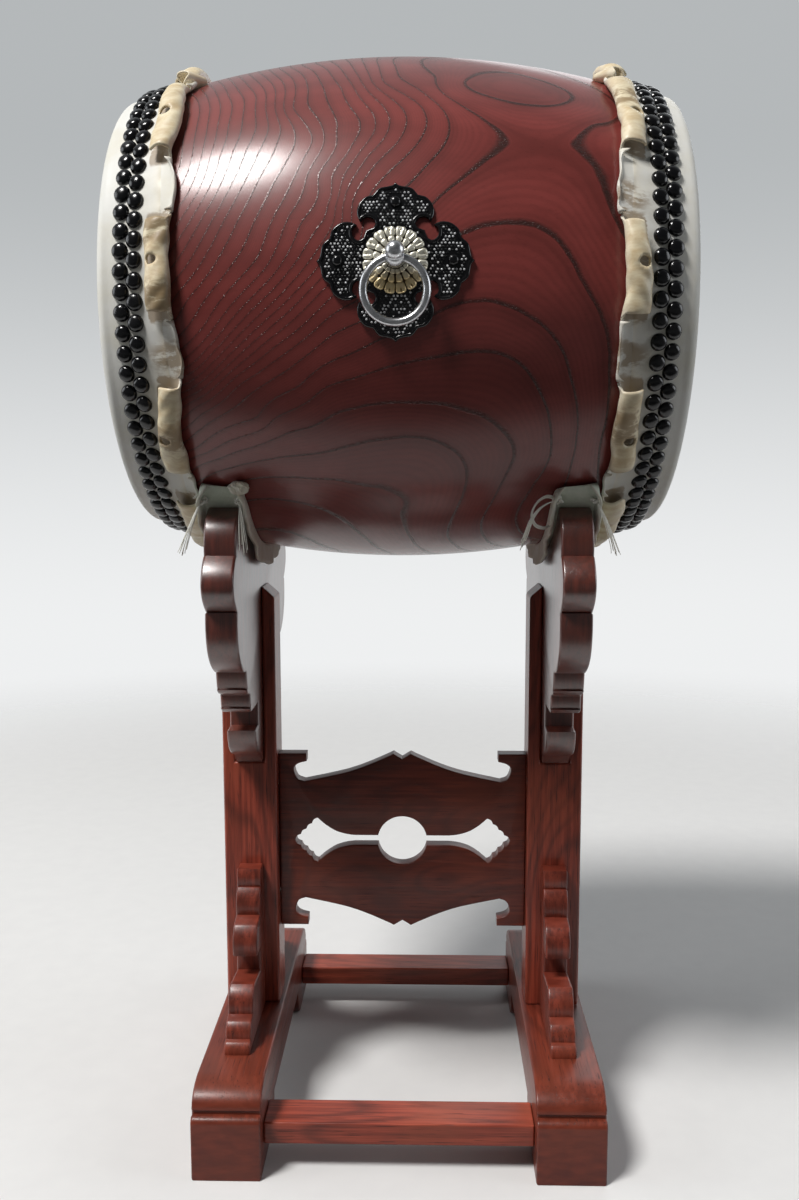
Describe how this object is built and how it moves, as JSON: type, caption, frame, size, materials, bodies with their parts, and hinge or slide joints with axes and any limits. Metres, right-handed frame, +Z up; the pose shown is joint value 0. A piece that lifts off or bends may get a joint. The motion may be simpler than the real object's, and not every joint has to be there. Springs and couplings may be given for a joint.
{
  "type": "nagado taiko",
  "caption": "Barrel-shaped wooden drum with tacked hide heads, lying on padded cradle arms of a tall carved wooden stand.",
  "frame": {"origin": "on the floor under the middle of the drum", "axes": "+X along the drum's axis to the right head, +Y towards the back, +Z up"},
  "size_m": [0.5996, 0.6293, 1.2371],
  "materials": {
    "drum_wood": "glossy red-brown lacquer over keyaki",
    "stand_wood": "dark red-brown polished hardwood",
    "hide": "dried cowhide, ivory to tan",
    "black_iron": "glossy black",
    "ring_metal": "pewter grey, polished",
    "gilt_metal": "pale gold, chased",
    "pad_cloth": "grey-green cloth with a cream edge",
    "string": "off-white twine"
  },
  "bodies": {
    "stand": {"sled_left": "stand_wood", "post_left": "stand_wood", "cradle_arm_left": "stand_wood", "foot_bracket_front_left": "stand_wood", "foot_bracket_back_left": "stand_wood", "cradle_pad_left": "pad_cloth", "sled_right": "stand_wood", "post_right": "stand_wood", "cradle_arm_right": "stand_wood", "foot_bracket_front_right": "stand_wood", "foot_bracket_back_right": "stand_wood", "cradle_pad_right": "pad_cloth", "connecting_board": "stand_wood", "stretcher_front": "stand_wood", "stretcher_back": "stand_wood", "tie_knot_front_left_outer": "string", "tie_tail_front_left_outer": "string", "tie_knot_front_left_inner": "string", "tie_tail_front_left_inner": "string", "tie_knot_back_left_outer": "string", "tie_tail_back_left_outer": "string", "tie_knot_back_left_inner": "string", "tie_tail_back_left_inner": "string", "tie_knot_front_right_outer": "string", "tie_tail_front_right_outer": "string", "tie_knot_front_right_inner": "string", "tie_tail_front_right_inner": "string", "tie_knot_back_right_outer": "string", "tie_tail_back_right_outer": "string", "tie_knot_back_right_inner": "string", "tie_tail_back_right_inner": "string", "tie_loop_front_right": "string"},
    "drum": {"drum_body": "drum_wood", "head_left": "hide", "tacks_left": "black_iron", "head_right": "hide", "tacks_right": "black_iron", "rosette_front": "gilt_metal", "eye_post_front": "ring_metal", "post_washer_front": "black_iron", "post_nut_front": "black_iron", "stud_top_front": "black_iron", "stud_bottom_front": "black_iron", "stud_right_front": "black_iron", "stud_left_front": "black_iron", "rosette_back": "gilt_metal", "eye_post_back": "ring_metal", "post_washer_back": "black_iron", "post_nut_back": "black_iron", "stud_top_back": "black_iron", "stud_bottom_back": "black_iron", "stud_right_back": "black_iron", "stud_left_back": "black_iron", "ring_plate_front": "black_iron", "ring_plate_back": "black_iron"},
    "ring_front": {"ring_front": "ring_metal"},
    "ring_back": {"ring_back": "ring_metal"}
  },
  "joints": [
    {"name": "drum_lift", "type": "slide", "parent": "stand", "child": "drum", "axis": [0, 0, 1], "range_m": [0, 0.2]},
    {"name": "ring_front_swing", "type": "hinge", "parent": "drum", "child": "ring_front", "pos_m": [0, -0.29906, 0.97197], "axis": [-1, 0, 0], "range_deg": [-8, 165]},
    {"name": "ring_back_swing", "type": "hinge", "parent": "drum", "child": "ring_back", "pos_m": [0, 0.29906, 0.93603], "axis": [1, 0, 0], "range_deg": [-8, 165]}
  ]
}
